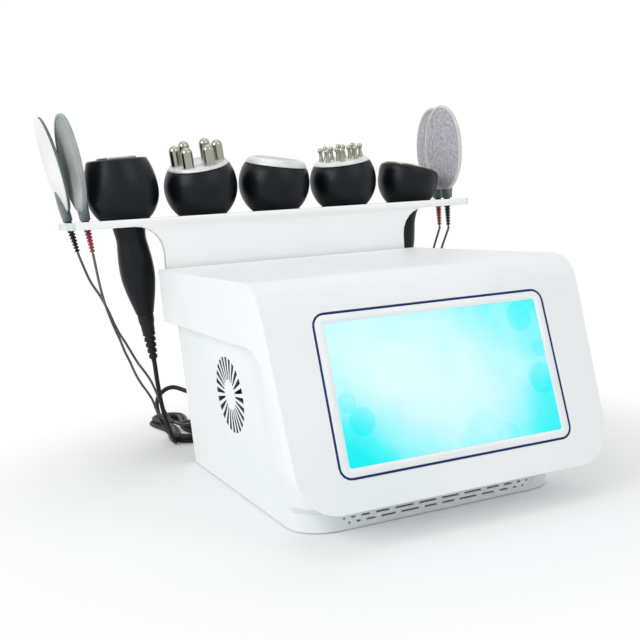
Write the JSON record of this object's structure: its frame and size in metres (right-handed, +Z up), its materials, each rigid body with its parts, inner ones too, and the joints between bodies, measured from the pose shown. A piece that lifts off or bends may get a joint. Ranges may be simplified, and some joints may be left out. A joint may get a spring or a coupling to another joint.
{
  "type": "body sculpting machine",
  "caption": "Desktop body sculpting machine: sloping touch screen, wall-mounted holder shelf with hanging handpieces and electrode pads, fan and rear sockets.",
  "frame": {"origin": "centre of the machine's footprint (cords left out) on the table", "axes": "+X to the right seen from the front, -Y out of the screen side, +Z up"},
  "size_m": [0.533, 0.6234, 0.409],
  "materials": {
    "black_rubber": "matt",
    "black_satin_abs": "satin",
    "chrome": "polished",
    "circuit_board": "coated board",
    "conductive_face": "conductive mesh sheet",
    "cord_dark": "satin jacket",
    "display_module": "black module with metal back",
    "navy_print": "printed line",
    "pad_shell_grey": "satin",
    "pale_plate": "polished pale plate",
    "plated_steel": "bright plated",
    "red_boot": "satin",
    "screen_glass": "lit screen under a cover sheet",
    "white_abs": "semi-gloss moulded",
    "white_acrylic": "polished sheet"
  },
  "bodies": {
    "cabinet": {"back_panel": "white_abs", "base_plate": "plated_steel", "base_shell": "white_abs", "cavitation_cord": "cord_dark", "cavitation_hank": "cord_dark", "cavitation_plug": "black_satin_abs", "cavitation_tail": "cord_dark", "connector_board": "chrome", "control_board": "circuit_board", "display_module": "display_module", "driver_board": "circuit_board", "fan_frame": "display_module", "foot_front_left": "black_rubber", "foot_front_right": "black_rubber", "foot_rear_left": "black_rubber", "foot_rear_right": "black_rubber", "holder": "white_acrylic", "holder_bolt_left": "plated_steel", "holder_bolt_right": "plated_steel", "hood": "white_abs", "mains_inlet": "black_satin_abs", "pad_lead_left_front": "cord_dark", "pad_lead_left_rear": "cord_dark", "pad_lead_right_front": "cord_dark", "pad_lead_right_rear": "cord_dark", "pad_plug_left": "black_satin_abs", "pad_plug_right": "black_satin_abs", "power_supply": "plated_steel", "screen_trim": "navy_print", "touch_glass": "screen_glass"},
    "cavitation_handpiece": {"cavitation_shell": "black_satin_abs", "cavitation_face": "chrome", "cavitation_gland": "black_rubber"},
    "six_pole_handpiece": {"six_pole_shell": "black_satin_abs", "six_pole_electrodes": "chrome", "six_pole_gland": "black_rubber"},
    "flat_head_handpiece": {"flat_head_shell": "black_satin_abs", "flat_head_rim": "pale_plate", "flat_head_plate": "plated_steel", "flat_head_gland": "black_rubber"},
    "ball_pin_handpiece": {"ball_pin_shell": "black_satin_abs", "ball_pin_electrodes": "pale_plate", "ball_pin_gland": "black_rubber"},
    "bowl_head_handpiece": {"bowl_head_shell": "black_satin_abs", "bowl_head_ring": "chrome", "bowl_head_gland": "black_rubber"},
    "pad_left_rear": {"pad_left_rear_shell": "pad_shell_grey", "pad_left_rear_face": "conductive_face", "pad_left_rear_boot": "black_rubber"},
    "pad_left_front": {"pad_left_front_shell": "pad_shell_grey", "pad_left_front_face": "conductive_face", "pad_left_front_boot": "red_boot"},
    "pad_right_front": {"pad_right_front_shell": "pad_shell_grey", "pad_right_front_face": "conductive_face", "pad_right_front_boot": "black_rubber"},
    "pad_right_rear": {"pad_right_rear_shell": "pad_shell_grey", "pad_right_rear_face": "conductive_face", "pad_right_rear_boot": "red_boot"},
    "fan_rotor": {"fan_rotor": "black_satin_abs"},
    "power_rocker": {"power_rocker": "black_satin_abs"}
  },
  "joints": [
    {"name": "cavitation_lift", "type": "slide", "parent": "cabinet", "child": "cavitation_handpiece", "axis": [-0.0768, -0.0262, 0.9967], "range_m": [0, 0.2]},
    {"name": "six_pole_lift", "type": "slide", "parent": "cabinet", "child": "six_pole_handpiece", "axis": [-0.1107, -0.2391, 0.9647], "range_m": [0, 0.2]},
    {"name": "flat_head_lift", "type": "slide", "parent": "cabinet", "child": "flat_head_handpiece", "axis": [0.0671, -0.1564, 0.9854], "range_m": [0, 0.2]},
    {"name": "ball_pin_lift", "type": "slide", "parent": "cabinet", "child": "ball_pin_handpiece", "axis": [0.0234, -0.1132, 0.9933], "range_m": [0, 0.2]},
    {"name": "bowl_head_lift", "type": "slide", "parent": "cabinet", "child": "bowl_head_handpiece", "axis": [0.0989, -0.0602, 0.9933], "range_m": [0, 0.2]},
    {"name": "pad_left_rear_lift", "type": "slide", "parent": "cabinet", "child": "pad_left_rear", "axis": [-0.2159, -0.0151, 0.9763], "range_m": [0, 0.05]},
    {"name": "pad_left_front_lift", "type": "slide", "parent": "cabinet", "child": "pad_left_front", "axis": [-0.1378, -0.0194, 0.9903], "range_m": [0, 0.05]},
    {"name": "pad_right_front_lift", "type": "slide", "parent": "cabinet", "child": "pad_right_front", "axis": [-0.0119, -0.003, 0.9999], "range_m": [0, 0.05]},
    {"name": "pad_right_rear_lift", "type": "slide", "parent": "cabinet", "child": "pad_right_rear", "axis": [-0.0119, -0.003, 0.9999], "range_m": [0, 0.05]},
    {"name": "fan_spin", "type": "hinge", "parent": "cabinet", "child": "fan_rotor", "pos_m": [-0.13503, -0.02848, 0.1065], "axis": [-0.9986, 0, -0.0532], "continuous": true},
    {"name": "power_rocker_tilt", "type": "hinge", "parent": "cabinet", "child": "power_rocker", "pos_m": [0.11664, 0.13102, 0.104], "axis": [-1, 0, 0], "range_deg": [-12, 12]}
  ]
}
